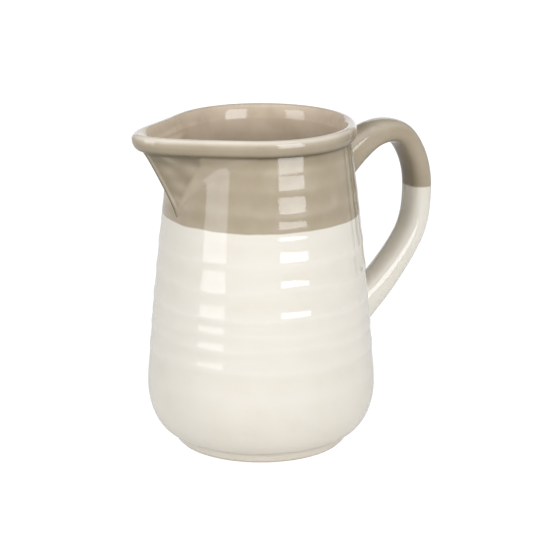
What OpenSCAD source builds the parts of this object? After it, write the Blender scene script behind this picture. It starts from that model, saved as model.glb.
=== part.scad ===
/* [Body] */
// Height from the table to the crest of the glazed rim
jug_h = 200; // [180:1:220]
// Outer diameter of the clay where the straight wall meets the heel curve
belly_d = 139.6; // [128:0.2:148]
// Height of that widest part above the table
belly_z = 42.6; // [34:0.2:54]
// Outer diameter of the clay just under the rim
neck_d = 108.6; // [100:0.2:118]
// Outward bow of the wall halfway between belly and rim
wall_bow = 1; // [0:0.1:2]
// Thickness of the clay wall
wall_t = 4; // [3:0.1:6]
// Thickness of the clay floor
floor_t = 5.5; // [4:0.1:8]
// How far the heel stands out over the top of the foot ring
heel_over = 5; // [3:0.1:10]
// Thickness of the clay at the heel, level with the floor
heel_t = 11.2; // [8:0.1:15]

/* [Foot] */
// Outer diameter of the foot ring on the table
foot_d = 105.4; // [96:0.2:110]
// Height of the foot ring
foot_h = 6; // [4:0.1:8]
// Width of the foot ring's bearing face
foot_t = 8; // [6:0.1:12]
// How much wider the foot ring is at its top
foot_flare = 1.4; // [0:0.1:2]
// Chamfer along both edges of the bearing face
foot_chamfer = 1; // [0.4:0.1:1.6]
// Rise of the heel's underside, which leaves the groove above the foot
groove_h = 2.2; // [1:0.1:3]

/* [Throwing rings] */
// Height from one ring to the next
ring_pitch = 11.6; // [8:0.1:16]
// How far a ring stands out from the wall
ring_h = 0.22; // [0.1:0.02:0.6]
// Height over which the rings fade out at the heel
ring_fade_low = 25; // [10:1:40]
// Height over which the rings fade out under the rim
ring_fade_high = 12; // [5:1:25]

/* [Rim] */
// Height of the rolled clay rim above the wall's top edge
rim_h = 9.6; // [6:0.1:12]
// How far the rim stands out over the wall
rim_out = 3.6; // [2:0.1:5]
// How far the rim's crest stands out over the wall, which is how much the mouth widens in the rim
rim_crest_out = 0.9; // [0:0.1:1.8]

/* [Spout] */
// How far the beak stands out from the wall at its top
spout_out = 26.9; // [20:0.1:34]
// Height of the beak from the foot of its notch to the rim
spout_h = 41.6; // [36:0.1:44]
// Width of the notch in the wall's top edge
spout_w = 93.4; // [80:0.2:98]
// Width of the flat at the bottom of the notch
spout_foot_w = 3; // [2:0.1:6]
// How far the pouring lip leans out at its tip
spout_lean = 2.2; // [1:0.1:6]
// How far the pouring lip rises over the rim's crest
spout_rise = 1.8; // [0:0.1:4]
// Width between the creases beside the beak, just under the rim
crease_w = 54.4; // [44:0.2:70]
// Height under the rim over which the creases run out into the rim's curve
crease_fade_h = 8; // [5:0.5:14]

/* [Handle] */
// Distance from the wall out to the handle's centreline
handle_out = 58.9; // [50:0.1:66]
// Height above the table at which the handle's centreline meets the wall
handle_low_z = 68.2; // [60:0.1:78]
// Depth of the top of the handle's centreline below the rim's crest
handle_top_drop = 16.2; // [14:0.1:22]
// Depth of the middle of the upper root below the top of the handle's centreline
upper_root_drop = 17; // [14:0.1:22]
// Thickness of the handle, wall to hand
handle_t = 14.8; // [12:0.1:18]
// Width of the handle
handle_w = 21; // [17:0.1:26]
// Extra thickness of the handle where it meets the wall at the top
upper_flare = 17; // [10:0.1:20]
// Extra thickness of the handle where it meets the wall at the bottom
lower_flare = 16; // [10:0.1:20]
// Extra width of the handle at both roots
root_widening = 5; // [2:0.1:8]
// Width of the scored seat under each root
seat_w = 14; // [10:0.1:16]
// Height of the scored seat under each root
seat_h = 20; // [18:0.1:22]
// Depth of the scored seat in the wall
seat_d = 0.8; // [0.4:0.1:1.6]

/* [Glaze] */
// Thickness of every glaze coat
glaze_t = 0.45; // [0.3:0.05:0.8]
// Depth of the line where the taupe glaze meets the cream glaze below the rim's crest
glaze_line_drop = 54.7; // [54:0.1:68]
// Height of the bare clay strip above the table
bare_h = 1.4; // [1:0.1:2.5]

/* [Hidden] */
$fn = 120;

clay = "#cdbb9f";
cream = "#efebe0";
taupe = "#b0a48e";

// Overrun of every cut past the face it opens
over = 1;

// Radii and heights that the pieces share
belly_r = belly_d / 2;
neck_r = neck_d / 2;
foot_r = foot_d / 2;
seat_z = jug_h - glaze_t - rim_h;
heel_z = foot_h + groove_h;
floor_z = foot_h + floor_t;
glaze_line_z = jug_h - glaze_line_drop;
cut_r = belly_r + spout_out;

// The wall: a slightly bowed taper, drawn in at the heel by the first part of a quarter ellipse
heel_depth_share = 0.916;
heel_reach = (belly_z - heel_z) / heel_depth_share;
hollow_reach = belly_z - floor_z;
function clamped(v) = max(0, min(1, v));
function up_wall(z) = (z - belly_z) / (seat_z - belly_z);
function smooth_r(z) = belly_r + (neck_r - belly_r) * up_wall(z)
    + wall_bow * sin(180 * clamped(up_wall(z)));
function curve_share(z, reach) = 1 - sqrt(1 - pow(clamped((belly_z - z) / reach), 2));
heel_r = foot_r + foot_flare + heel_over;
heel_in = (smooth_r(heel_z) - heel_r) / curve_share(heel_z, heel_reach);
hollow_in = smooth_r(floor_z) - wall_t - (heel_r - heel_t);

// Throwing rings: a wave whose pitch wanders a little from ring to ring
ring_phase_share = -0.1;
ring_wander_share = 0.12;
ring_wander_pitches = 3.6;
function ring_fade(z) =
    clamped((z - heel_z) / ring_fade_low) * clamped((seat_z - z) / ring_fade_high);
function ring_turns(z) = z / ring_pitch + ring_phase_share
    + ring_wander_share * sin(360 * z / (ring_pitch * ring_wander_pitches));
function rings(z) = ring_h * ring_fade(z) * sin(360 * ring_turns(z));

function wall_r(z) = smooth_r(z) - heel_in * curve_share(z, heel_reach) + rings(z);
function hollow_r(z) = smooth_r(z) - wall_t - hollow_in * curve_share(z, hollow_reach);

// Heights at which the wall is drawn, with the glaze line as one of them
low_steps = 62;
high_steps = 28;
function steps(a, b, n) = [for (i = [0 : n]) a + (b - a) * i / n];
low_z = steps(heel_z, glaze_line_z, low_steps);
high_z = steps(glaze_line_z, seat_z, high_steps);
wall_z = concat(low_z, [for (i = [1 : high_steps]) high_z[i]]);

// Heights at which the hollow is drawn: close together where it curves into the floor
hollow_steps = 18;
bow_steps = 10;
hollow_z = concat(
    [for (i = [0 : hollow_steps - 1]) belly_z - hollow_reach * cos(90 * i / hollow_steps)],
    steps(belly_z, seat_z, bow_steps));

function outside(zs, out) = [for (z = zs) [wall_r(z) + out, z]];
function inside(in) = [for (z = hollow_z) [hollow_r(z) - in, z]];
function reversed(list) = [for (i = [len(list) - 1 : -1 : 0]) list[i]];
function raised(points, up) = [for (p = points) [p[0], max(p[1], floor_z + up)]];

// The spout's notch: a V in the wall whose sides curve outwards, with a small flat at its foot
beak_rows = 24;
notch_power = 1.4;
spout_z = seat_z - spout_h;
beak_z = steps(spout_z, seat_z, beak_rows);
function up_beak(z) = clamped((z - spout_z) / spout_h);
function notch_half(z) = spout_foot_w / 2
    + (spout_w - spout_foot_w) / 2 * pow(up_beak(z), notch_power);
notch_side = concat([for (z = beak_z) [notch_half(z), z]], [[notch_half(seat_z), jug_h + over]]);

module spout_notch() {
    rotate([90, 0, -90])
        linear_extrude(height = cut_r)
            polygon(concat(notch_side, reversed([for (p = notch_side) [-p[0], p[1]]])));
}

// The rim's section, as [outwards, height]: half an oval outside, a flaring quarter of one inside
// and a small flat between them at the crest
rim_steps = 8;
crest_turn = 8;
function rim_outer(coat) = [for (i = [1 : rim_steps + 1])
    let (turn = -90 + (180 - crest_turn / 2) * i / (rim_steps + 1))
    [
        rim_crest_out + (rim_out - rim_crest_out + coat) * cos(turn),
        seat_z + rim_h / 2 + (rim_h / 2 + coat) * sin(turn)
    ]];
function rim_inner(coat) = [for (i = [0 : rim_steps])
    let (turn = (90 - crest_turn / 2) * i / rim_steps)
    [
        rim_crest_out - (wall_t + rim_crest_out + coat) * cos(turn),
        seat_z + (rim_h + coat) * sin(turn)
    ]];
function from_neck(points) = [for (p = points) [neck_r + p[0], p[1]]];

// The beak's share of its full reach, where across runs from -1 to 1 over the notch: a flat
// flank from a rounded nose down to a crease, which near the rim turns into a rounded ridge
beak_cols = 28;
beak_power = 1.13;
crease_power = 1.15;
crease_least_share = 0.03;
nose_round_share = 0.16;
crease_round_share = 0.05;
function crease_half(z) =
    crease_w / 2 * pow(max(crease_least_share, up_beak(z)), crease_power);
function flank(across, z) =
    let (down = 1 + nose_round_share
        - norm([abs(across) * notch_half(z) / crease_half(z), nose_round_share]))
    (down + norm([down, 2 * crease_round_share])) / (1 + norm([1, 2 * crease_round_share]))
        * (1 - pow(across, 4));
function rim_share(z) =
    let (t = clamped((z - seat_z) / crease_fade_h + 1))
    t * t * (3 - 2 * t);
function ridge(across, z) =
    flank(across, z) * (1 - rim_share(z)) + pow(cos(90 * across), 2) * rim_share(z);
function lean(z) = spout_lean * max(0, z - seat_z) / rim_h;
function beak_reach(across, z) =
    (spout_out * pow(up_beak(z), beak_power) + lean(z)) * ridge(across, z);

// How steeply the beak runs out across and upwards, measured over a short run
slope_run = 0.4;
slope_run_share = 0.01;
function flank_slope(across, z) =
    abs(beak_reach(across + slope_run_share, z) - beak_reach(across - slope_run_share, z))
        / (2 * slope_run_share * notch_half(z));
function wall_slope(across, z) =
    let (
        low = z - slope_run,
        beside = min(1, abs(across) * notch_half(z) / notch_half(low))
    )
    abs(beak_reach(across, z) - beak_reach(beside, low)) / slope_run;
function beak_slope(across, z) = wall_slope(across, z) * (1 - rim_share(z))
    + spout_out / spout_h * ridge(across, z) * rim_share(z);

// The beak's skin at height z, where out is the offset from the clay's face
beak_across = [for (i = [0 : beak_cols]) 2 * i / beak_cols - 1];
function beak_point(across, out, z, face) =
    let (
        y = across * notch_half(z),
        circle_slope = abs(y) / sqrt(pow(face, 2) - pow(y, 2)),
        slope = norm([circle_slope + flank_slope(across, z), beak_slope(across, z)]),
        thicker = out * (norm([1, slope]) - norm([1, circle_slope])) * (1 - pow(across, 8))
    )
    [
        -sqrt(pow(face + out, 2) - pow(y, 2)) - thicker - beak_reach(across, z),
        y,
        z + spout_rise * up_beak(z) * ridge(across, z)
    ];

// A sheet of the spout: the wall rows at one offset, then rows over the rim
function beak_face(z) = wall_r(min(z, seat_z));
function hollow_face(z) = hollow_r(min(z, seat_z)) + wall_t;
function outer_rows(coat) = concat([for (z = beak_z) [coat, z, beak_face(z)]],
    [for (p = rim_outer(coat)) [p[0], p[1], neck_r]]);
function inner_rows(coat) = concat([for (z = beak_z) [-wall_t - coat, z, hollow_face(z)]],
    [for (p = rim_inner(coat)) [p[0], p[1], neck_r]]);
function beak_sheet(rows) = [for (row = rows)
    [for (across = beak_across) beak_point(across, row[0], row[1], row[2])]];

// Two triangles over a four-sided gap, split from its first corner or from its second
function halves(a, b, c, d, from_second = false) =
    from_second ? [[a, b, d], [b, c, d]] : [[a, b, c], [a, c, d]];

// A closed solid between two grids of points, rows by columns, joined round their edges.
// Rows from fold on are split the other way, so that a folded sheet fits what it is folded over.
module between(front, back, fold) {
    rows = len(front);
    cols = len(front[0]);
    size = rows * cols;
    border = concat(
        [for (j = [0 : cols - 1]) j],
        [for (i = [1 : rows - 1]) i * cols + cols - 1],
        [for (j = [cols - 2 : -1 : 0]) (rows - 1) * cols + j],
        [for (i = [rows - 2 : -1 : 1]) i * cols]);
    turns = len(border);
    front_faces = [for (i = [0 : rows - 2]) for (j = [0 : cols - 2])
        let (a = i * cols + j)
        each halves(a, a + cols, a + cols + 1, a + 1, i >= fold)];
    back_faces = [for (face = front_faces) [face[2] + size, face[1] + size, face[0] + size]];
    edge_faces = [for (k = [0 : turns - 1])
        let (a = border[k], b = border[(k + 1) % turns])
        each halves(a, b, size + b, size + a)];
    polyhedron(
        points = [for (grid = [front, back]) for (row = grid) for (p = row) p],
        faces = concat(front_faces, back_faces, edge_faces));
}

// The handle's centreline, as shares of the distance out from the wall and of the height. The
// arch over the upper root keeps its own height, so that the root stays above the glaze line
upper_root_share = 0.853;
upper_root_z = jug_h - handle_top_drop - upper_root_drop;
handle_path_shares = [
    [-0.24, 0.745], [0, upper_root_share], [0.435, 0.983], [0.785, 0.983], [0.97, 0.844],
    [1, 0.65], [0.865, 0.415], [0.45, 0.177], [0, 0], [-0.36, -0.144]
];
function handle_z(share) = share > upper_root_share
    ? upper_root_z + upper_root_drop * (share - upper_root_share) / (1 - upper_root_share)
    : handle_low_z + (upper_root_z - handle_low_z) * share / upper_root_share;
function handle_knot(i) =
    let (z = handle_z(handle_path_shares[i][1]))
    [smooth_r(z) + glaze_t + handle_out * handle_path_shares[i][0], z];
function spline(a, b, c, d, t) = b + t * (c - a) / 2
    + t * t * (a - b * 2.5 + c * 2 - d / 2) + t * t * t * (b * 1.5 - a / 2 - c * 1.5 + d / 2);
function spline_slope(a, b, c, d, t) = (c - a) / 2
    + t * (a * 2 - b * 5 + c * 4 - d) + t * t * (b * 4.5 - a * 1.5 - c * 4.5 + d * 1.5);

handle_rings_per_span = 5;
handle_sides = 20;
handle_spans = len(handle_path_shares) - 1;
handle_rings = handle_spans * handle_rings_per_span;
function span_knots(i) = [for (k = [-1 : 2])
    let (n = i + k)
    n < 0 ? 2 * handle_knot(0) - handle_knot(1)
    : n > handle_spans ? 2 * handle_knot(handle_spans) - handle_knot(handle_spans - 1)
    : handle_knot(n)];
function on_path(i) =
    let (
        span = min(handle_spans - 1, floor(i / handle_rings_per_span)),
        t = i / handle_rings_per_span - span,
        k = span_knots(span),
        slope = spline_slope(k[0], k[1], k[2], k[3], t)
    )
    [spline(k[0], k[1], k[2], k[3], t), slope / norm(slope)];

// The handle's section: an oval that flares towards both roots
upper_flare_share = 0.34;
lower_flare_share = 0.4;
function upper_root(u) = pow(clamped(1 - u / upper_flare_share), 2);
function lower_root(u) = pow(clamped(1 - (1 - u) / lower_flare_share), 2);
function half_t(u) = (handle_t + upper_flare * upper_root(u) + lower_flare * lower_root(u)) / 2;
function half_w(u) = (handle_w + root_widening * (upper_root(u) + lower_root(u))) / 2;
function handle_ring(i, coat) =
    let (
        u = i / handle_rings,
        place = on_path(i),
        c = place[0],
        d = place[1],
        a = half_t(u) - glaze_t + coat,
        b = half_w(u) - glaze_t + coat
    )
    [for (k = [0 : handle_sides - 1])
        let (q = 360 * k / handle_sides)
        [c[0] - d[1] * a * cos(q), b * sin(q), c[1] + d[0] * a * cos(q)]];

// A solid swept through closed rings of points, with flat ends
module swept(sections) {
    rows = len(sections);
    cols = len(sections[0]);
    polyhedron(
        points = [for (ring = sections) for (p = ring) p],
        faces = concat(
            [[for (j = [cols - 1 : -1 : 0]) j]],
            [for (i = [0 : rows - 2]) for (j = [0 : cols - 1])
                let (a = i * cols + j, b = i * cols + (j + 1) % cols)
                each halves(a, b, b + cols, a + cols)],
            [[for (j = [0 : cols - 1]) (rows - 1) * cols + j]]));
}

module handle_core(coat) {
    swept([for (i = [0 : handle_rings]) handle_ring(i, coat)]);
}

// Everything inside the glazed face of the wall, which the handle's roots are shaped to
module glazed_body() {
    rotate_extrude()
        polygon(concat([[0, heel_z]], outside(wall_z, glaze_t), [[0, seat_z]]));
}

// The scored seat of a root: an upright slot with round ends, driven through the wall's face
function root_z(low) = handle_knot(low ? handle_spans - 1 : 1)[1];

module seat_slot(low) {
    translate([0, 0, root_z(low)])
        rotate([90, 0, 90])
            linear_extrude(height = cut_r)
                union() {
                    square([seat_w, seat_h - seat_w], center = true);
                    translate([0, (seat_h - seat_w) / 2])
                        circle(d = seat_w);
                    translate([0, (seat_w - seat_h) / 2])
                        circle(d = seat_w);
                }
}

// The skin of the wall from one depth under its clay face to one height over it
module wall_skin(zs, under, above) {
    rotate_extrude()
        polygon(concat(outside(zs, above), reversed(outside(zs, -under))));
}

module seat_pocket(low) {
    intersection() {
        seat_slot(low);
        wall_skin(wall_z, seat_d, over);
    }
}

module body() {
    color(clay)
        difference() {
            rotate_extrude()
                polygon(concat(
                    [[0, foot_h], [foot_r + foot_flare, foot_h]],
                    outside(wall_z, 0),
                    reversed(inside(0)),
                    [[0, floor_z]]));
            spout_notch();
            seat_pocket(false);
            seat_pocket(true);
        }
}

module foot_ring() {
    color(clay)
        rotate_extrude()
            polygon([
                [foot_r - foot_t, foot_chamfer],
                [foot_r - foot_t + foot_chamfer, 0],
                [foot_r - foot_chamfer, 0],
                [foot_r, foot_chamfer],
                [foot_r + foot_flare, foot_h],
                [foot_r - foot_t, foot_h]
            ]);
}

module rolled_rim() {
    color(clay)
        difference() {
            rotate_extrude()
                polygon(concat(
                    [[neck_r - wall_t, seat_z], [neck_r, seat_z]],
                    from_neck(rim_outer(0)),
                    reversed(from_neck(rim_inner(0)))));
            spout_notch();
        }
}

module spout() {
    color(clay)
        between(beak_sheet(inner_rows(0)), beak_sheet(outer_rows(0)), len(inner_rows(0)));
}

module handle() {
    color(clay)
        difference() {
            handle_core(0);
            glazed_body();
        }
}

module handle_joint(low) {
    color(clay)
        intersection() {
            seat_slot(low);
            wall_skin(wall_z, seat_d, glaze_t);
        }
}

module upper_handle_joint() {
    handle_joint(false);
}

module lower_handle_joint() {
    handle_joint(true);
}

module cream_body_glaze() {
    foot_face = foot_flare * (bare_h - foot_chamfer) / (foot_h - foot_chamfer);
    color(cream)
        difference() {
            rotate_extrude()
                polygon(concat(
                    [
                        [foot_r + foot_face, bare_h],
                        [foot_r + foot_face + glaze_t, bare_h],
                        [foot_r + foot_flare + glaze_t, foot_h - glaze_t],
                        [heel_r, heel_z - glaze_t]
                    ],
                    outside(low_z, glaze_t),
                    reversed(outside(low_z, 0)),
                    [[foot_r + foot_flare, foot_h]]));
            seat_slot(true);
        }
}

module taupe_neck_glaze() {
    color(taupe)
        difference() {
            wall_skin(high_z, 0, glaze_t);
            spout_notch();
            seat_slot(false);
        }
}

module taupe_rim_glaze() {
    color(taupe)
        difference() {
            rotate_extrude()
                polygon(concat(
                    [[neck_r, seat_z], [neck_r + glaze_t, seat_z]],
                    from_neck(rim_outer(glaze_t)),
                    reversed(from_neck(rim_inner(glaze_t))),
                    [[neck_r - wall_t - glaze_t, seat_z], [neck_r - wall_t, seat_z]],
                    from_neck(rim_inner(0)),
                    reversed(from_neck(rim_outer(0)))));
            spout_notch();
        }
}

module taupe_spout_glaze() {
    coat = concat(outer_rows(glaze_t), reversed(inner_rows(glaze_t)));
    core = concat(outer_rows(0), reversed(inner_rows(0)));
    color(taupe)
        between(beak_sheet(core), beak_sheet(coat), len(outer_rows(0)));
}

module taupe_liner_glaze() {
    color(taupe)
        difference() {
            rotate_extrude()
                polygon(concat(
                    [[0, floor_z]],
                    inside(0),
                    reversed(raised(inside(glaze_t), glaze_t)),
                    [[0, floor_z + glaze_t]]));
            spout_notch();
        }
}

module handle_glaze() {
    difference() {
        handle_core(glaze_t);
        handle_core(0);
        glazed_body();
    }
}

module taupe_handle_glaze() {
    color(taupe)
        intersection() {
            handle_glaze();
            translate([0, -handle_w, glaze_line_z])
                cube([cut_r + handle_out, 2 * handle_w, jug_h - glaze_line_z]);
        }
}

module cream_handle_glaze() {
    color(cream)
        intersection() {
            handle_glaze();
            translate([0, -handle_w, 0])
                cube([cut_r + handle_out, 2 * handle_w, glaze_line_z]);
        }
}

module cream_base_glaze() {
    color(cream)
        translate([0, 0, foot_h - glaze_t])
            cylinder(h = glaze_t, r = foot_r - foot_t);
}

body();
foot_ring();
rolled_rim();
spout();
handle();
upper_handle_joint();
lower_handle_joint();
cream_body_glaze();
taupe_neck_glaze();
taupe_rim_glaze();
taupe_spout_glaze();
taupe_liner_glaze();
taupe_handle_glaze();
cream_handle_glaze();
cream_base_glaze();
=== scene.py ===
"""Looks of the stoneware jug: its glazes, its bare foot, the studio and the camera."""

import math

import bpy
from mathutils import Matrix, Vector


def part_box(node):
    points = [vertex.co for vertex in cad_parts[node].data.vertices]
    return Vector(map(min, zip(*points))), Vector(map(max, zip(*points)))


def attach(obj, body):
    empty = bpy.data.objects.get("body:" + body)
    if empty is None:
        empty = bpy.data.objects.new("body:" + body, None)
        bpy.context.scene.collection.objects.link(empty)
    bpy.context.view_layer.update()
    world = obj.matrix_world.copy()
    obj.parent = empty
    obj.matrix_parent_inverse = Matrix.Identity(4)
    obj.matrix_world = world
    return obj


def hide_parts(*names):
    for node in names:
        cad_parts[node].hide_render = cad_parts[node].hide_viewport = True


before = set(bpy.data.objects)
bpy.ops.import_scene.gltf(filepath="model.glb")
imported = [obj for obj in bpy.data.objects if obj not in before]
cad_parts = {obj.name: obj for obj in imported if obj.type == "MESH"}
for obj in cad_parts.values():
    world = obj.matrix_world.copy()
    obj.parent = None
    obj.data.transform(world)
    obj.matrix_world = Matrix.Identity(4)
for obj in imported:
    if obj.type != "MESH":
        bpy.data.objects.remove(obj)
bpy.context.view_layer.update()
MM = 0.001

# Sizes, mm: _R is a radius, _Z a height over the table, _T a thickness, _H a height of its own and
# _HALF half a width
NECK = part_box("taupe_neck_glaze")
RIM_SEAT = NECK[1].z / MM
GLAZE_LINE = NECK[0].z / MM
SPOUT_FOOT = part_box("spout")[0].z / MM
GLAZE = 0.45
# Too small to see
HAIR = 0.01
BELLY_R, BELLY_Z = 69.8, 42.6
NECK_R, WALL_BOW = 54.3, 1.0
WALL_T, FLOOR_Z = 4.0, 11.5
HEEL_Z, HEEL_R, HEEL_T = 8.2, 59.1, 11.2
RIM_H = 9.6
SPOUT_H = RIM_SEAT - SPOUT_FOOT
SPOUT_OUT, SPOUT_HALF, SPOUT_FOOT_HALF = 26.9, 46.7, 1.5
SPOUT_LEAN, SPOUT_RISE = 1.95, 1.75
CREASE_HALF, CREASE_FADE_H = 27.2, 8.0
# How the notch, the beak and its crease widen upwards: 1 is straight, more stays narrow for longer
NOTCH_POWER, BEAK_POWER, CREASE_POWER = 1.4, 1.13, 1.15


def clamp(v, low=0.0, high=1.0):
    return max(low, min(high, v))


def ease(v, start, end):
    """0 before start, 1 after end, and a smooth step between."""
    t = clamp((v - start) / (end - start))
    return t * t * (3 - 2 * t)


# The thrown wall, mm
def smooth_r(z):
    up = (z - BELLY_Z) / (RIM_SEAT - BELLY_Z)
    return BELLY_R + (NECK_R - BELLY_R) * up + WALL_BOW * math.sin(math.pi * clamp(up))


def curve_share(z, reach):
    return 1 - math.sqrt(1 - clamp((BELLY_Z - z) / reach) ** 2)


# The heel's curve ends where it has run this share of its full reach
HEEL_CURVE_SHARE = 0.916
HEEL_REACH = (BELLY_Z - HEEL_Z) / HEEL_CURVE_SHARE
HOLLOW_REACH = BELLY_Z - FLOOR_Z
HEEL_IN = (smooth_r(HEEL_Z) - HEEL_R) / curve_share(HEEL_Z, HEEL_REACH)
HOLLOW_IN = smooth_r(FLOOR_Z) - WALL_T - (HEEL_R - HEEL_T)


def wall_r(z):
    return smooth_r(z) - HEEL_IN * curve_share(z, HEEL_REACH)


def hollow_r(z):
    return smooth_r(z) - WALL_T - HOLLOW_IN * curve_share(z, HOLLOW_REACH)


# The throwing rings: the height of each crest to the left and to the right of the jug's front, how
# far it stands out and how gently it falls away above; below, each falls away steeply
RINGS = [
    (181.8, 181.4, 0.16, 3.4),
    (172.0, 170.9, 0.20, 6.0),
    (158.0, 156.6, 0.26, 5.4),
    (147.1, 147.6, 0.16, 4.0),
    (141.8, 140.6, 0.10, 2.4),
    (127.4, 127.4, 0.30, 4.5),
    (109.2, 112.6, 0.32, 3.6),
    (93.6, 93.8, 0.46, 4.0),
    (84.4, 84.0, 0.30, 3.8),
    (74.2, 76.2, 0.36, 3.4),
    (62.0, 61.5, 0.34, 4.4),
    (46.0, 44.0, 0.12, 5.0),
]
RING_FOOT = 2.8
# How far the wall lies back between rings, and where a ring leaves no trace any more
RING_BED, RING_TRACE = -0.06, 14
# The rings die out over these heights, above the heel and under the rim
HEEL_FADE_H, RIM_FADE_H = 12, 5
LEFT_TURN, RIGHT_TURN = math.radians(30), math.radians(75)
# How strong the rings are at both turns, and how much weaker to the left above the glaze line, with
# the heights over that line where the loss begins and ends
LEFT_STRENGTH, RIGHT_STRENGTH, NECK_LOSS = 1.25, 1.18, 0.85
LOSS_BEGINS, LOSS_ENDS = -2, 6


def rings(turn, z):
    """How far the throwing rings stand out of the wall at a height and a turn round the jug."""
    to_right = 0.5 - 0.5 * math.cos(math.pi * (turn - LEFT_TURN) / (RIGHT_TURN - LEFT_TURN))
    at_left = LEFT_STRENGTH - NECK_LOSS * ease(z, GLAZE_LINE + LOSS_BEGINS, GLAZE_LINE + LOSS_ENDS)
    strength = at_left + (RIGHT_STRENGTH - at_left) * to_right
    out = RING_BED
    for left, right, stand, gentle in RINGS:
        off = z - left - (right - left) * to_right
        if abs(off) < RING_TRACE:
            out += strength * stand * math.exp(-((off / (RING_FOOT if off < 0 else gentle)) ** 2))
    return out * clamp((z - HEEL_Z) / HEEL_FADE_H) * clamp((RIM_SEAT - z) / RIM_FADE_H)


# How steeply the wall leans in and the rim's inside flares out at the seat, the height of the bend
# between them, and how far down the liner is back on the wall, in bend heights
LEAN, FLARE, BEND_H, BEND_FADE = 0.105, 0.085, 10.0, 5


def liner_r(z):
    """The hollow's glazed face, which bends under the rim from the wall's lean to the rim's flare."""
    down = RIM_SEAT - z
    bend = min(down, BEND_H)
    full = (LEAN + FLARE) * (bend - bend**2 / (2 * BEND_H))
    return hollow_r(z) - GLAZE - full * (1 - ease(down, BEND_H, BEND_FADE * BEND_H))


# The pulled spout: how round its nose and its creases are, as shares of half its width
NOSE_ROUND, CREASE_ROUND = 0.16, 0.05
# The crease's least share of its width, at the beak's foot
CREASE_LEAST_SHARE = 0.03
# The runs over which the beak's slopes are measured, across as a share and down in mm
ACROSS_RUN, DOWN_RUN = 0.01, 0.4
# How late the flank and its coat's extra thickness fade out towards the notch's edge
FLANK_POWER, THICK_POWER = 4, 8


def up_beak(z):
    return clamp((z - SPOUT_FOOT) / SPOUT_H)


def notch_half(z):
    return SPOUT_FOOT_HALF + (SPOUT_HALF - SPOUT_FOOT_HALF) * up_beak(z) ** NOTCH_POWER


def crease_half(z):
    return CREASE_HALF * max(CREASE_LEAST_SHARE, up_beak(z)) ** CREASE_POWER


def rim_share(z):
    return ease(z, RIM_SEAT - CREASE_FADE_H, RIM_SEAT)


def ridge(across, z):
    """The beak's share of its reach: flat from a rounded nose to a crease, and rounder at the rim."""
    down = 1 + NOSE_ROUND - math.hypot(across * notch_half(z) / crease_half(z), NOSE_ROUND)
    flank = (down + math.hypot(down, 2 * CREASE_ROUND)) / (1 + math.hypot(1, 2 * CREASE_ROUND))
    flank *= 1 - across**FLANK_POWER
    return flank + rim_share(z) * (math.cos(math.pi / 2 * across) ** 2 - flank)


def beak_reach(across, z):
    lean = SPOUT_LEAN * max(0.0, z - RIM_SEAT) / RIM_H
    return (SPOUT_OUT * up_beak(z) ** BEAK_POWER + lean) * ridge(across, z)


def beak_slopes(across, z):
    """How steeply the beak runs out across and upwards, measured over a short run."""
    run, low = ACROSS_RUN, z - DOWN_RUN
    flank = abs(beak_reach(across + run, z) - beak_reach(across - run, z)) / (2 * run * notch_half(z))
    beside = min(1, abs(across) * notch_half(z) / notch_half(low))
    wall = abs(beak_reach(across, z) - beak_reach(beside, low)) / DOWN_RUN
    rim = SPOUT_OUT / SPOUT_H * ridge(across, z)
    return flank, wall + rim_share(z) * (rim - wall)


def beak_point(across, face, out, z):
    """A point of the spout's skin: across runs -1 to 1 over the notch, out is off the clay's face."""
    y = across * notch_half(z)
    round_slope = abs(y) / math.sqrt(face**2 - y**2)
    flank, rise = beak_slopes(across, z)
    steeper = math.hypot(1, round_slope + flank, rise) - math.hypot(1, round_slope)
    thicker = out * steeper * (1 - across**THICK_POWER)
    x = -math.sqrt((face + out) ** 2 - y**2) - thicker - beak_reach(across, z)
    return Vector((x, y, z + SPOUT_RISE * up_beak(z) * ridge(across, z)))


# Outlines, mm
def spline(points, steps):
    """A smooth line through given points."""
    ends = [2 * Vector(points[0]) - Vector(points[1]), 2 * Vector(points[-1]) - Vector(points[-2])]
    p = [ends[0], *map(Vector, points), ends[1]]
    line = []
    for i in range(1, len(p) - 2):
        for k in range(steps):
            t = k / steps
            a, b, c, d = p[i - 1 : i + 3]
            line.append(
                b
                + t * (c - a) / 2
                + t * t * (a - 2.5 * b + 2 * c - d / 2)
                + t**3 * (1.5 * b - a / 2 - 1.5 * c + d / 2)
            )
    return line + [p[-2]]


OUTLINE_STEPS = 5
# The rolled rim's glazed face, as [outwards from the neck's clay, up from the rim's seat]
RIM = spline(
    [
        (0.45, 0), (0.8, -0.38), (1.9, -0.12), (2.95, 0.85), (3.65, 2.3), (4.0, 4.2), (4.02, 5.8),
        (3.8, 7.25), (3.1, 8.75), (2.0, 9.75), (0.9, 10.05), (-0.9, 9.62), (-2.25, 8.0),
        (-3.35, 5.4), (-4.1, 2.6), (-4.34, 1.3), (-4.45, 0),
    ],
    OUTLINE_STEPS,
)
# The wall's glazed face from the foot's bare edge to the heel curve, as [radius, height]
HEEL_TOP = 9.6
FOOT = spline(
    [
        (53.1, 1.4), (53.4, 1.9), (53.85, 3.5), (54.4, 5.2), (55.0, 6.4), (56.4, 7.25), (58.2, 7.75),
        (59.5, 8.35), (wall_r(HEEL_TOP) + GLAZE, HEEL_TOP),
    ],
    OUTLINE_STEPS,
)
# The disc inside the foot ring, and the round where it meets the ring
BASE = [(0, 5.55), (4, 5.55), (30, 5.55), (41.7, 5.5), (43.7, 5.2), (44.5, 4.6), (44.6, 4.2)]


def spaced(start, end, step):
    count = max(1, round(abs(end - start) / step))
    return [start + (end - start) * i / count for i in range(count + 1)]


# Making
def deselect():
    if bpy.context.object and bpy.context.object.mode != "OBJECT":
        bpy.ops.object.mode_set(mode="OBJECT")
    bpy.ops.object.select_all(action="DESELECT")


def take(obj):
    deselect()
    obj.select_set(True)
    bpy.context.view_layer.objects.active = obj


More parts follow.
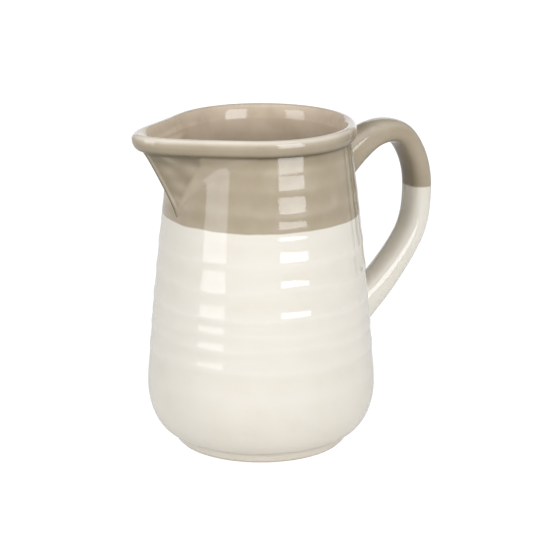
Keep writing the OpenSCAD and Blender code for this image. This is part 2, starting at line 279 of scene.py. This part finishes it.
def mark(obj, marks):
    """Writes for every vertex how thick the glaze lies, below 0 where it runs thin over an edge and
    above 0 where it pools, with painted shade added above 0 and painted highlights below 0, and how far
    inside the jug it is, from 0 to 1."""
    for name, values in zip(("pool_and_painted_light", "inside"), zip(*marks)):
        obj.data.attributes.new(name, "FLOAT", "POINT").data.foreach_set("value", values)


def shape(obj, rule):
    """Moves every vertex by a rule on its place in mm, which gives the new place and the marks."""
    marks = []
    for v in obj.data.vertices:
        place, *two = rule(v.co / MM)
        v.co = place * MM
        marks.append(two)
    mark(obj, marks)


# Points this close are one point, m, and faces that meet flatter than this are shaded as one
ONE_POINT = 0.00002
SMOOTH_ANGLE = math.radians(35)


def edit_merged(obj):
    """Opens a piece in edit mode with its doubles merged and everything selected."""
    take(obj)
    bpy.ops.object.mode_set(mode="EDIT")
    bpy.ops.mesh.select_all(action="SELECT")
    bpy.ops.mesh.remove_doubles(threshold=ONE_POINT)


def coated(obj, seen_from_inside=False):
    """Merges doubles, gives the skin the glaze's thickness towards the clay and smooths it."""
    edit_merged(obj)
    bpy.ops.mesh.normals_make_consistent(inside=seen_from_inside)
    bpy.ops.object.mode_set(mode="OBJECT")
    skin = obj.modifiers.new("skin", "SOLIDIFY")
    skin.thickness = GLAZE * MM
    skin.offset = -1
    bpy.ops.object.modifier_apply(modifier=skin.name)
    bpy.ops.object.shade_smooth_by_angle(angle=SMOOTH_ANGLE)


# Half the slit that is left at the spout's side while a wall is thrown, radians, and how many
# columns a wall has round the jug unless it says otherwise
SEAM, WALL_COLUMNS = 0.01, 360


def put(r, turn, z):
    """A place by its radius, its turn from the spout's side and its height."""
    return Vector((-r * math.cos(turn), -r * math.sin(turn), z))


def thrown(name, outline, columns=WALL_COLUMNS):
    """A wall thrown on the wheel: its outline, a chain of points, is spun round the jug's axis."""
    deselect()
    bpy.ops.mesh.primitive_circle_add(vertices=len(outline) + 1)
    obj = bpy.context.object
    obj.name = obj.data.name = name
    for v, (r, z) in zip(obj.data.vertices, outline):
        v.co = put(r, SEAM, z) * MM
    # the circle's spare point goes, which opens it into a chain
    bpy.ops.object.mode_set(mode="EDIT")
    bpy.ops.mesh.select_all(action="DESELECT")
    bpy.ops.object.mode_set(mode="OBJECT")
    obj.data.vertices[-1].select = True
    bpy.ops.object.mode_set(mode="EDIT")
    bpy.ops.mesh.delete(type="VERT")
    bpy.ops.object.mode_set(mode="OBJECT")
    wheel = obj.modifiers.new("wheel", "SCREW")
    wheel.angle = math.tau - 2 * SEAM
    wheel.steps = wheel.render_steps = columns
    bpy.ops.object.modifier_apply(modifier=wheel.name)
    return obj


def sheet(name, columns, rows, rule):
    """A flat grid that runs from -1 to 1 both ways, whose every point a rule then puts in place."""
    deselect()
    bpy.ops.mesh.primitive_grid_add(x_subdivisions=columns, y_subdivisions=rows, size=2)
    obj = bpy.context.object
    obj.name = obj.data.name = name
    marks = []
    for v in obj.data.vertices:
        place, *two = rule(v.co.x, v.co.y)
        v.co = place * MM
        marks.append(two)
    mark(obj, marks)
    return obj


def opened(p):
    """A thrown point's radius, and its turn once the wall's ends are spread for the notch, or met."""
    r = math.hypot(p.x, p.y)
    share = (math.atan2(-p.y, -p.x) % math.tau - SEAM) / (math.tau - 2 * SEAM)
    half = notch_half(min(p.z, RIM_SEAT)) if p.z > SPOUT_FOOT + HAIR else 0.0
    edge = math.asin(half / r) if half else 0.0
    return r, edge + share * (math.tau - 2 * edge)


def bump_share(off, wide):
    """1 in the middle of a soft round spot or band and 0 well outside it."""
    return math.exp(-((off / wide) ** 2))


# The rules of the coats below give a new place, how thick the glaze lies there, with painted shade and
# highlights added in, and how far inside the jug it is. The groove over the foot ring, as [height, how
# wide], mm
GROOVE = (7.0, 1.1)
# How dark the groove is, from glaze pooled there and painted shade, and how much thinner per mm that a
# ring stands out
GROOVE_POOL_AND_SHADE, RING_THIN = 0.9, 0.8
# How dark the painted shadow right under the rim is and how high it reaches: a narrow band and a haze
LIP_SHADOW, LIP_H, HAZE_SHADOW, HAZE_H = 0.7, 2.5, 0.3, 9


def wall_rule(p):
    r, turn = opened(p)
    lift = rings(turn, p.z)
    groove = bump_share(p.z - GROOVE[0], GROOVE[1])
    # painted shadow under the rim, glaze pooled with painted shade in the groove, and thinner glaze
    # over the rings
    return put(r + lift, turn, p.z), painted_lip_shadow(p.z) + GROOVE_POOL_AND_SHADE * groove - RING_THIN * lift, 0.0


def painted_lip_shadow(z):
    """Painted shadow right under the rim, in a narrow band over a wide faint haze."""
    haze = HAZE_SHADOW * ease(z, RIM_SEAT - HAZE_H, RIM_SEAT)
    return LIP_SHADOW * ease(z, RIM_SEAT - LIP_H, RIM_SEAT) + haze


def rim_rule(p):
    r, turn = opened(p)
    return put(r, turn, p.z), rim_shade_and_crest(r - NECK_R, p.z), rim_inside(r - NECK_R)


# The rim's crest, as [height over the seat, how wide], and how wide the valley under the roll is, mm
CREST, VALLEY_W = (9.3, 1.7), 1.5
# How much painted shade lies in the valley and on the roll's lower half, and how much paler the crest
# is, where the glaze runs thin and a highlight is painted
VALLEY_SHADE, ROLL_SHADE, CREST_THIN_AND_HIGHLIGHT = 0.9, 0.25, 0.9
# Where these begin and end, mm: the rim's outside and the crest by how far out from the neck's clay,
# the roll's lower half by how far down from the seat
OUTSIDE_RUN, CREST_RUN, ROLL_RUN = (-1, 0), (-0.6, 1.4), (-6.5, -4)
# Half the width of the band where the rim's taupe turns into the liner's
TURN_HALF = 1.5


def rim_shade_and_crest(out, z):
    """Painted shade in the valley under the roll and on the roll's lower half; paler over the crest,
    where the glaze runs thin and a highlight is painted.
    """
    up = z - RIM_SEAT
    outside = ease(out, *OUTSIDE_RUN)
    crest = bump_share(up - CREST[0], CREST[1]) * ease(out, *CREST_RUN)
    valley = bump_share(up, VALLEY_W) * outside
    return VALLEY_SHADE * valley + ROLL_SHADE * ease(-up, *ROLL_RUN) * outside - CREST_THIN_AND_HIGHLIGHT * crest


def rim_inside(out):
    return ease(-out, -TURN_HALF, TURN_HALF)


def plain_rule(p):
    r, turn = opened(p)
    return put(r, turn, p.z), 0.0, 1.0


def base_rule(p):
    r, turn = opened(p)
    return put(r, turn, p.z), 0.0, 0.0


def ride(piece, slot, *nodes):
    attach(piece, "root")
    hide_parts(*nodes)


# Materials
def linear(code):
    """An sRGB hex colour as linear light."""
    parts = [int(code[i : i + 2], 16) / 255 for i in (1, 3, 5)]
    return [*(c / 12.92 if c <= 0.04045 else ((c + 0.055) / 1.055) ** 2.4 for c in parts), 1]


def add(tree, kind, links=(), **settings):
    """Adds a node with its settings, its fixed inputs and its links from other nodes' outputs."""
    node = tree.nodes.new(kind)
    for key, value in settings.items():
        setattr(node, key, value)
    for key, value in dict(links).items():
        if isinstance(value, bpy.types.NodeSocket):
            tree.links.new(value, node.inputs[key])
        else:
            node.inputs[key].default_value = value
    return node


def surface(name):
    mat = bpy.data.materials.new(name)
    mat.use_nodes = True
    mat.node_tree.nodes.clear()
    return mat, mat.node_tree


def ramped(tree, factor, colours):
    """A colour ramp over evenly spaced hex colours."""
    node = add(tree, "ShaderNodeValToRGB", {"Fac": factor})
    stops = node.color_ramp.elements
    while len(stops) < len(colours):
        stops.new(0.5)
    for i, code in enumerate(colours):
        stops[i].position = i / (len(colours) - 1)
        stops[i].color = linear(code)
    return node.outputs["Color"]


WHITE = (1, 1, 1, 1)
# Glazes, from where they run thin to where they pool; the pale end also carries painted highlights and
# the dark end painted shade
CREAM = ["#e8e1d5", "#dfd8c9", "#cdbfa4"]
TAUPE = ["#dbd0be", "#a79981", "#6a5e45"]
ROSY = ["#e9ddcb", "#d0bea5", "#907a62"]
# The bare clay's grains and its iron specks
CLAY, IRON = ["#d8cbb2", "#e2d6c0", "#ece2d0"], "#8f765a"
# How large the clay's grains and specks are and how deep the grains are, mm
GRAIN, GRAIN_DEEP, SPECK = 0.9, 0.05, 0.5
# The noise from which a speck begins to show and that from which it shows in full
SPECK_NOISE = (0.66, 0.72)
CLAY_ROUGH, CLAY_IOR = 0.85, 1.45
# How large the glaze's patterns are, mm: its clouds, the dip line's wander and softness, the orange
# peel, the waves left by the sponge, and how deep the last two are
CLOUD, WANDER, WANDER_OUT, DIP_SOFT = 18, 15, 0.3, 0.6
PEEL, PEEL_DEEP, SPONGE, SPONGE_DEEP = 0.9, 0.02, 14, 0.08
GLAZE_ROUGH, GLAZE_IOR = 0.04, 1.5
# How strong the clouds are outside and inside the jug, and the peel in the cream and in the taupe
CLOUDS_OUTSIDE, CLOUDS_INSIDE, CREAM_PEEL, TAUPE_PEEL = 0.5, 1.0, 0.2, 1.0
# The noise that takes the dip line furthest up and furthest down
WANDER_NOISE = (0.3, 0.7)


def noise(tree, spot, size, detail):
    """Noise whose grains are some size in mm."""
    return add(tree, "ShaderNodeTexNoise", {"Vector": spot, "Scale": 1 / (size * MM), "Detail": detail})


def bumps(tree, height, deep, strength=1.0, normal=None):
    """Bumps in the normal, deep in mm, over another normal where one is given."""
    links = {"Height": height, "Strength": strength, "Distance": deep * MM}
    if normal:
        links["Normal"] = normal
    return add(tree, "ShaderNodeBump", links).outputs["Normal"]


def glaze(name):
    """Glossy dipped glaze on stoneware: a glass-smooth coat over an even opaque colour, paler where
    it runs thin over an edge and deeper where it pools, and also darker where shade is painted and
    paler where highlights are painted.
    Cream below and taupe above the dip line, where the two meet softly; inside the jug the taupe is
    rosier and cloudier."""
    mat, t = surface(name)
    spot = add(t, "ShaderNodeTexCoord").outputs["Object"]
    pool_and_painted_light = add(t, "ShaderNodeAttribute", attribute_name="pool_and_painted_light").outputs["Fac"]
    inside = add(t, "ShaderNodeAttribute", attribute_name="inside").outputs["Fac"]
    # clouds in the glaze, fainter outside than inside
    cloud = noise(t, spot, CLOUD, 4.0)
    wide = add(
        t, "ShaderNodeMapRange",
        {"Value": inside, "To Min": CLOUDS_OUTSIDE, "To Max": CLOUDS_INSIDE},
    )
    drift = add(t, "ShaderNodeMath", {0: cloud.outputs["Fac"], 1: 0.5}, operation="SUBTRACT")
    depth = add(
        t, "ShaderNodeMath", {0: drift.outputs["Value"], 1: wide.outputs["Result"], 2: pool_and_painted_light},
        operation="MULTIPLY_ADD",
    )
    depth = depth.outputs["Value"]
    level = add(t, "ShaderNodeMapRange", {"Value": depth, "From Min": -1.0, "From Max": 1.0})
    level = level.outputs["Result"]
    pale, dark, rosy = (ramped(t, level, ramp) for ramp in (CREAM, TAUPE, ROSY))
    upper = add(t, "ShaderNodeMix", {"Factor": inside, "A": dark, "B": rosy}, data_type="RGBA")
    # the dip line wanders a little and is soft
    height = add(t, "ShaderNodeSeparateXYZ", {"Vector": spot}).outputs["Z"]
    wander = noise(t, spot, WANDER, 1.0).outputs["Fac"]
    least, most = WANDER_NOISE
    out = WANDER_OUT * MM
    shift = add(
        t, "ShaderNodeMapRange",
        {"Value": wander, "From Min": least, "From Max": most, "To Min": -out, "To Max": out},
    )
    edge = add(t, "ShaderNodeMath", {0: height, 1: shift.outputs["Result"]}).outputs["Value"]
    low, high = (GLAZE_LINE - DIP_SOFT) * MM, (GLAZE_LINE + DIP_SOFT) * MM
    dip = add(
        t, "ShaderNodeMapRange", {"Value": edge, "From Min": low, "From Max": high},
        interpolation_type="SMOOTHSTEP",
    )
    taupe_share = add(t, "ShaderNodeMath", {0: dip.outputs["Result"], 1: inside}, operation="MAXIMUM")
    taupe_share = taupe_share.outputs["Value"]
    colour = add(
        t, "ShaderNodeMix", {"Factor": taupe_share, "A": pale, "B": upper.outputs["Result"]},
        data_type="RGBA",
    )
    # orange peel, stronger in the taupe, and slower waves left by the sponge
    peel = noise(t, spot, PEEL, 1.0)
    pebbly = add(
        t, "ShaderNodeMapRange", {"Value": taupe_share, "To Min": CREAM_PEEL, "To Max": TAUPE_PEEL}
    )
    fine = bumps(t, peel.outputs["Fac"], PEEL_DEEP, pebbly.outputs["Result"])
    sponge = noise(t, spot, SPONGE, 1.0)
    normal = bumps(t, sponge.outputs["Fac"], SPONGE_DEEP, normal=fine)
    colour = colour.outputs["Result"]
    coat = {"Base Color": colour, "Roughness": GLAZE_ROUGH, "IOR": GLAZE_IOR, "Normal": normal}
    shader = add(t, "ShaderNodeBsdfPrincipled", coat)
    add(t, "ShaderNodeOutputMaterial", {"Surface": shader.outputs["BSDF"]})
    return mat


cream_glaze = glaze("cream_dipped_glaze")
taupe_glaze = glaze("taupe_dipped_glaze")
liner_glaze = glaze("taupe_liner_glaze")


def bare_clay(name):
    """Bare fired clay: matt and sandy, with dark iron specks under half a millimetre across."""
    mat, t = surface(name)
    spot = add(t, "ShaderNodeTexCoord").outputs["Object"]
    grain = noise(t, spot, GRAIN, 3.0)
    body = ramped(t, grain.outputs["Fac"], CLAY)
    speck = noise(t, spot, SPECK, 1.0).outputs["Fac"]
    least, most = SPECK_NOISE
    dots = add(t, "ShaderNodeMapRange", {"Value": speck, "From Min": least, "From Max": most})
    colour = add(
        t, "ShaderNodeMix", {"Factor": dots.outputs["Result"], "A": body, "B": linear(IRON)},
        data_type="RGBA",
    )
    normal = bumps(t, grain.outputs["Fac"], GRAIN_DEEP)
    colour = colour.outputs["Result"]
    clay = {"Base Color": colour, "Roughness": CLAY_ROUGH, "IOR": CLAY_IOR, "Normal": normal}
    shader = add(t, "ShaderNodeBsdfPrincipled", clay)
    add(t, "ShaderNodeOutputMaterial", {"Surface": shader.outputs["BSDF"]})
    return mat


stoneware = bare_clay("buff_stoneware")


# The walls' coats: the heights between their rows, mm, and their columns round the jug
LOW_ROW, BEAK_ROW, LINER_ROW = 0.9, 0.9, 3
LOW_COLUMNS, BASE_COLUMNS, ROUND_ROWS = 240, 180, 24


def finish(piece, mat, slot, *nodes, seen_from_inside=False):
    coated(piece, seen_from_inside)
    piece.data.materials.clear()
    piece.data.materials.append(mat)
    ride(piece, slot, *nodes)


low_z = spaced(FOOT[-1].y, GLAZE_LINE, LOW_ROW)
low_outline = [tuple(p) for p in FOOT] + [(wall_r(z) + GLAZE, z) for z in low_z[1:]]
low_wall = thrown("cream_wall_coat", low_outline, LOW_COLUMNS)
shape(low_wall, wall_rule)
finish(low_wall, cream_glaze, "cream_glaze", "cream_body_glaze")

neck_z = spaced(GLAZE_LINE, SPOUT_FOOT, BEAK_ROW)[:-1]
beak_z = spaced(SPOUT_FOOT, RIM_SEAT, BEAK_ROW)
neck_wall = thrown("taupe_wall_coat", [(wall_r(z) + GLAZE, z) for z in neck_z + beak_z])
shape(neck_wall, wall_rule)
finish(neck_wall, taupe_glaze, "taupe_glaze", "taupe_neck_glaze")

rim = thrown("rolled_rim_coat", [(NECK_R + p.x, RIM_SEAT + p.y) for p in RIM])
shape(rim, rim_rule)
finish(rim, taupe_glaze, "taupe_glaze", "taupe_rim_glaze")

deep_z = [BELLY_Z - HOLLOW_REACH * math.cos(math.pi / 2 * i / ROUND_ROWS) for i in range(ROUND_ROWS)]
floor_z = FLOOR_Z + GLAZE
hollow = [(0, floor_z), (4, floor_z)] + [(liner_r(z), max(z, floor_z)) for z in deep_z]
hollow += [(liner_r(z), z) for z in spaced(BELLY_Z, SPOUT_FOOT, LINER_ROW)[:-1] + beak_z]
liner = thrown("liner_coat", hollow)
shape(liner, plain_rule)
finish(liner, liner_glaze, "taupe_liner", "taupe_liner_glaze", seen_from_inside=True)

base = thrown("base_coat", BASE, BASE_COLUMNS)
shape(base, base_rule)
finish(base, cream_glaze, "cream_glaze", "cream_base_glaze", seen_from_inside=True)

# The spout's coat: up the outside, over the rim and down the inside
beak_rows = [(wall_r(z), GLAZE, z) for z in beak_z]
beak_rows += [(NECK_R, p.x, RIM_SEAT + p.y) for p in RIM[1:-1]]
beak_rows += [(liner_r(z) + WALL_T + GLAZE, -WALL_T - GLAZE, z) for z in reversed(beak_z)]


# Painted reflections: light spots on the beak's flanks, as [across, height, mm wide]
REFLECTION_SPOTS = [
    (0.26, 178.2, 3.2), (0.46, 169.4, 3.4), (0.54, 180.1, 4.0), (0.3, 186.0, 2.4), (0.5, 160.0, 2.6),
]
# How wide the darker band down the nose is, and where and how wide the paler line beside it is, mm
NOSE_BAND, BESIDE_LINE = 0.7, (2.0, 0.8)
# How much painted shade lies on the flanks, how much darker the nose's band is, how much paler the line
# beside it, and how much the painted reflections lighten
FLANK_SHADE, NOSE_DARKENING, BESIDE_LIGHTENING, SPOT_REFLECTION = 0.6, 0.9, 0.7, 0.5
# How wide a painted reflection spot is for its height
MARK_ASPECT = 0.8
# Over how much of the width, in mm, and of the height, as a share, the flank's painted shade grows in
FLANK_EDGE, FLANK_FOOT_SHARE = 2, 0.1


def beak_painted_light(across, z):
    """Painted shade on the flanks, a darker band down the nose with a paler line beside it, painted
    reflections in light spots and the painted shadow under the rim.
    """
    y = abs(across) * notch_half(z)
    flank = ease(crease_half(z) - y, 0, FLANK_EDGE) * ease(up_beak(z), 0, FLANK_FOOT_SHARE)
    beside = bump_share(y - BESIDE_LINE[0], BESIDE_LINE[1]) * flank
    darkness = FLANK_SHADE * flank + NOSE_DARKENING * bump_share(y, NOSE_BAND) - BESIDE_LIGHTENING * beside
    for mark_across, mark_z, wide in REFLECTION_SPOTS:
        off = math.hypot(y - mark_across * notch_half(mark_z), MARK_ASPECT * (z - mark_z))
        darkness -= SPOT_REFLECTION * flank * bump_share(off, wide)
    return darkness + painted_lip_shadow(z)


def spout_rule(x, y):
    row = round((y + 1) / 2 * (len(beak_rows) - 1))
    face, out, z = beak_rows[row]
    point = beak_point(x, face, out, z)
    # the coat begins and ends in a point at the notch's foot
    if row in (0, len(beak_rows) - 1):
        point.y = 0.0
    if row < len(beak_z):
        point.x -= rings(0, z) * (1 - ridge(x, z))
        return point, beak_painted_light(x, z), 0.0
    if row < len(beak_z) + len(RIM) - 2:
        return point, rim_shade_and_crest(out, z), rim_inside(out)
    return point, 0.0, 1.0


BEAK_COLUMNS = 72
spout = sheet("spout_coat", BEAK_COLUMNS, len(beak_rows) - 1, spout_rule)
finish(spout, taupe_glaze, "taupe_glaze", "taupe_spout_glaze")

# The handle: an oval strap swept along its curve, with both roots flared onto the wall, mm
HANDLE_OUT, HANDLE_LOW, HANDLE_H = 58.9, 68.2, 115.6
HANDLE_T, HANDLE_W = 14.8, 21.0
UPPER_FLARE, LOWER_FLARE, ROOT_WIDENING = 17.0, 16.0, 5.0
# Its centreline as shares of the reach out of the wall and of the height above the lower root
HANDLE_PATH_SHARES = [
    (-0.24, 0.745), (0, 0.853), (0.435, 0.983), (0.785, 0.983), (0.97, 0.844), (1, 0.65),
    (0.865, 0.415), (0.45, 0.177), (0, 0), (-0.36, -0.144),
]
SPAN_STEPS = 14
# The shares of its length over which the roots flare, and those that a root's end is looked for in
UPPER_ROOT_SHARE, LOWER_ROOT_SHARE, BURIED_SHARE = 0.34, 0.4, 0.3
# How square the section is: 2 is an ellipse
STRAP = 2.5
# The fillet of slip round the roots and how deep its edge is sunk into the wall's coat, mm
SLIP_R, SLIP_SUNK = 2.6, 0.15
HANDLE_SIDES, HANDLE_ROWS = 56, 190
# The rows' crowding towards both roots, from 0 for even rows to 1
CROWDING = 0.8
# How often the stretch where a root leaves the wall is halved to find the place
HALVINGS = 24
handle_line = spline(
    [
        (smooth_r(HANDLE_LOW + HANDLE_H * up) + GLAZE + HANDLE_OUT * out, HANDLE_LOW + HANDLE_H * up)
        for out, up in HANDLE_PATH_SHARES
    ],
    SPAN_STEPS,
)


def blunt(share):
    """A cosine or sine drawn out, so that the section is a strap with rounded edges, not an oval."""
    return math.copysign(abs(share) ** (2 / STRAP), share)


def handle_point(side, u, grow=0.0):
    """A point of the handle's glazed face, by the turn round its section and the share along it."""
    at = u * (len(handle_line) - 1)
    i = min(int(at), len(handle_line) - 2)
    a, b = handle_line[max(0, i - 1)], handle_line[i]
    c, d = handle_line[i + 1], handle_line[min(i + 2, len(handle_line) - 1)]
    t = at - i
    centre = b.lerp(c, t)
    along = (c - a).lerp(d - b, t).normalized()
    upper = clamp(1 - u / UPPER_ROOT_SHARE) ** 2
    lower = clamp(1 - (1 - u) / LOWER_ROOT_SHARE) ** 2
    half_t = (HANDLE_T + UPPER_FLARE * upper + LOWER_FLARE * lower) / 2 + grow
    half_w = (HANDLE_W + ROOT_WIDENING * (upper + lower)) / 2 + grow
    off = half_t * blunt(math.cos(side))
    return Vector((centre.x - along.y * off, half_w * blunt(math.sin(side)), centre.y + along.x * off))


def above_wall(p):
    return math.hypot(p.x, p.y) - (wall_r(p.z) + GLAZE)


def emerges(side, start, end):
    """Where a line along the handle leaves the wall, between a buried end and a free one."""
    for _ in range(HALVINGS):
        middle = (start + end) / 2
        if above_wall(handle_point(side, middle)) < 0:
            start = middle
        else:
            end = middle
    return end


sides = [math.tau * k / HANDLE_SIDES for k in range(HANDLE_SIDES)]
handle_ends = [
    (emerges(side, 0.0, BURIED_SHARE), emerges(side, 1.0, 1 - BURIED_SHARE)) for side in sides
]


# How thick the glaze lies in the fillet, how thin on the strap's rounded edges, and how much painted
# shade lies on its face towards the wall in the cream, and how much more in the taupe
FILLET_POOL, EDGE_THIN, CREAM_SHADE, TAUPE_SHADE = 0.8, 0.25, 0.2, 0.35
# How far a face has to be turned to the wall, from -1 to 1, for that to begin and to be full, and how
# many mm off the glaze line it is the cream's or the taupe's alone
SHADE_RUN, SHADE_SOFT = (-0.1, 0.9), 1


def handle_rule(x, y):
    k = round((x + 1) / 2 * HANDLE_SIDES) % HANDLE_SIDES
    side = math.tau * k / HANDLE_SIDES
    first, last = handle_ends[k]
    t = (y + 1) / 2
    u = first + (last - first) * (t - CROWDING * math.sin(math.tau * t) / math.tau)
    height = above_wall(handle_point(side, u))
    reach = clamp(SLIP_R - height, 0, SLIP_R)
    point = handle_point(side, u, SLIP_R - math.sqrt(SLIP_R**2 - reach**2))
    sunk = -SLIP_SUNK - above_wall(point)
    if sunk > 0 or height < HAIR:
        out = math.hypot(point.x, point.y)
        point.x *= 1 + sunk / out
        point.y *= 1 + sunk / out
    edge = abs(math.sin(2 * side)) ** 2
    # painted shade on the face turned to the wall, deeper in the taupe
    to_wall = ease(-math.cos(side), *SHADE_RUN)
    in_taupe = ease(point.z, GLAZE_LINE - SHADE_SOFT, GLAZE_LINE + SHADE_SOFT)
    shade = CREAM_SHADE + TAUPE_SHADE * in_taupe
    return point, FILLET_POOL * (reach / SLIP_R) ** 2 - EDGE_THIN * edge + shade * to_wall, 0.0


def handle_part(name, mat, slot, node, up):
    """The handle's coat above or below the glaze line, cut from the whole."""
    part = sheet(name, HANDLE_SIDES, HANDLE_ROWS, handle_rule)
    edit_merged(part)
    bpy.ops.mesh.bisect(
        plane_co=(0, 0, GLAZE_LINE * MM), plane_no=(0, 0, 1), clear_inner=up, clear_outer=not up
    )
    bpy.ops.object.mode_set(mode="OBJECT")
    finish(part, mat, slot, node)


handle_part("taupe_handle_coat", taupe_glaze, "taupe_glaze", "taupe_handle_glaze", True)
handle_part("cream_handle_coat", cream_glaze, "cream_glaze", "cream_handle_glaze", False)

# The clay, which shows only at the foot
CLAY_NODES = [
    "body", "foot_ring", "rolled_rim", "spout", "handle", "upper_handle_joint", "lower_handle_joint",
]
for name in CLAY_NODES:
    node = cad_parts[name]
    node.data.materials.clear()
    node.data.materials.append(stoneware)

# The floor, in metres: white to the camera, and pale card to the light. It lies a hair under the
# foot, so that the two faces don't fight
FLOOR_SIZE, FLOOR_DROP = 12, 0.0001
FLOOR_CARD, FLOOR_GLOW = "#e6e5e3", 1.14
# How much of the glow the camera and the glaze's reflections see
CAMERA_SHARE, MIRROR_SHARE = 0.88, 0.3
# The room's light on the pieces and in their reflections, 1 being the white behind them
ROOM_LIGHT, ROOM_MIRRORED = 0.23, 0.25


def settle(obj):
    """Puts a piece's place, turn and scale into its mesh."""
    take(obj)
    bpy.ops.object.transform_apply(location=True, rotation=True, scale=True)


deselect()
bpy.ops.mesh.primitive_plane_add(size=FLOOR_SIZE, location=(0, 0, -FLOOR_DROP))
floor = bpy.context.object
floor.name = "floor"
settle(floor)
paper, t = surface("white_paper_floor")
card = add(t, "ShaderNodeBsdfDiffuse", {"Color": linear(FLOOR_CARD)}).outputs["BSDF"]
glow = add(t, "ShaderNodeEmission", {"Color": WHITE, "Strength": FLOOR_GLOW}).outputs["Emission"]
rays = add(t, "ShaderNodeLightPath").outputs
mirrored = add(t, "ShaderNodeMath", {0: rays["Is Glossy Ray"], 1: MIRROR_SHARE}, operation="MULTIPLY")
share = add(
    t, "ShaderNodeMath", {0: rays["Is Camera Ray"], 1: CAMERA_SHARE, 2: mirrored.outputs["Value"]},
    operation="MULTIPLY_ADD",
)
white = add(t, "ShaderNodeMixShader", {0: share.outputs["Value"], 1: card, 2: glow})
add(t, "ShaderNodeOutputMaterial", {"Surface": white.outputs["Shader"]})
floor.data.materials.append(paper)

world = bpy.data.worlds.new("studio")
bpy.context.scene.world = world
world.use_nodes = True
t = world.node_tree
t.nodes.clear()
rays = add(t, "ShaderNodeLightPath").outputs
room = add(
    t, "ShaderNodeMapRange",
    {"Value": rays["Is Glossy Ray"], "To Min": ROOM_LIGHT, "To Max": ROOM_MIRRORED},
)
strength = add(
    t, "ShaderNodeMix", {"Factor": rays["Is Camera Ray"], "A": room.outputs["Result"], "B": 1.0},
    data_type="FLOAT",
)
sky = add(t, "ShaderNodeBackground", {"Color": WHITE, "Strength": strength.outputs["Result"]})
add(t, "ShaderNodeOutputWorld", {"Surface": sky.outputs["Background"]})

# A little blue in the lamps, so that the cream doesn't turn yellow
LAMP_COLOUR = (0.97, 1.0, 1.07)
# How far the upright softboxes stand from the jug, m
LAMP_OFF = 1.1


def softbox(name, place, turn, width, height, radiance, mirrored=True):
    """A softbox in metres, whose radiance 1 looks as bright as white paper."""
    deselect()
    bpy.ops.object.light_add(type="AREA", location=place, rotation=turn)
    lamp = bpy.context.object
    lamp.name = name
    lamp.data.shape = "RECTANGLE"
    lamp.data.size = width
    lamp.data.size_y = height
    lamp.data.energy = radiance * math.pi * width * height
    lamp.data.color = LAMP_COLOUR
    lamp.visible_camera = False
    lamp.visible_glossy = mirrored


def upright_softbox(name, azimuth, width, low, high, radiance, off=LAMP_OFF, mirrored=True):
    """A softbox that stands round the jug, from a low to a high edge over the floor."""
    turn = math.radians(azimuth)
    place = (off * math.cos(turn), off * math.sin(turn), (low + high) / 2)
    softbox(name, place, (math.pi / 2, 0, turn + math.pi / 2), width, high - low, radiance, mirrored)


# The two strips that the wall mirrors are the left and the right softbox. The left one's upper part
# shows inside the mouth, and the backdrop only where the eye grazes the glaze
upright_softbox("left_softbox", 185.2, 0.55, -0.05, 0.45, 2.7)
upright_softbox("left_upper_softbox", 185.2, 0.55, 0.45, 0.95, 4.2)
upright_softbox("right_softbox", -86.8, 0.63, 0.12, 1.05, 5.6)
upright_softbox("left_fill", 160, 1.0, 0.05, 1.05, 1.3, 1.5, False)
upright_softbox("backdrop", 56.5, 1.3, -0.05, 0.75, 1.0, 1.3)
softbox("top_softbox", (-0.15, -0.3, 1.4), (0, 0, 0), 1.2, 1.2, 1.15)

# Two black flags beside the handle, whose only trace is a pair of dark lines down the wall's edge,
# as [name, x, y, azimuth, width]
FLAGS = [("near_flag", 0.626, -0.004, 4, 0.045), ("far_flag", 0.62, 0.157, 23, 0.09)]
FLAG_MIDDLE, FLAG_H = 0.15, 0.6
black, t = surface("black_cloth_flag")
cloth = add(t, "ShaderNodeBsdfDiffuse", {"Color": linear("#0a0a0a")})
add(t, "ShaderNodeOutputMaterial", {"Surface": cloth.outputs["BSDF"]})
for name, x, y, azimuth, width in FLAGS:
    turn = (math.pi / 2, 0, math.radians(azimuth) + math.pi / 2)
    deselect()
    bpy.ops.mesh.primitive_plane_add(size=1, location=(x, y, FLAG_MIDDLE), rotation=turn)
    flag = bpy.context.object
    flag.name = name
    flag.scale = (width, FLAG_H, 1)
    settle(flag)
    flag.data.materials.append(black)
    flag.visible_camera = flag.visible_diffuse = flag.visible_shadow = False

# The camera, in metres, with a long lens for a 36 mm sensor
CAMERA_LENS, CAMERA_SENSOR = 139.48, 36
CAMERA_PLACE = (-0.679, -1.03602, 0.46262)
CAMERA_AIM = (0.00476, -0.00296, 0.10655)
camera = bpy.data.cameras.new("camera")
camera.lens = CAMERA_LENS
camera.sensor_width = CAMERA_SENSOR
eye = bpy.data.objects.new("camera", camera)
bpy.context.scene.collection.objects.link(eye)
eye.location = CAMERA_PLACE
eye.rotation_euler = (Vector(CAMERA_AIM) - eye.location).to_track_quat("-Z", "Y").to_euler()
bpy.context.scene.camera = eye

bpy.context.scene.view_settings.view_transform = "Standard"
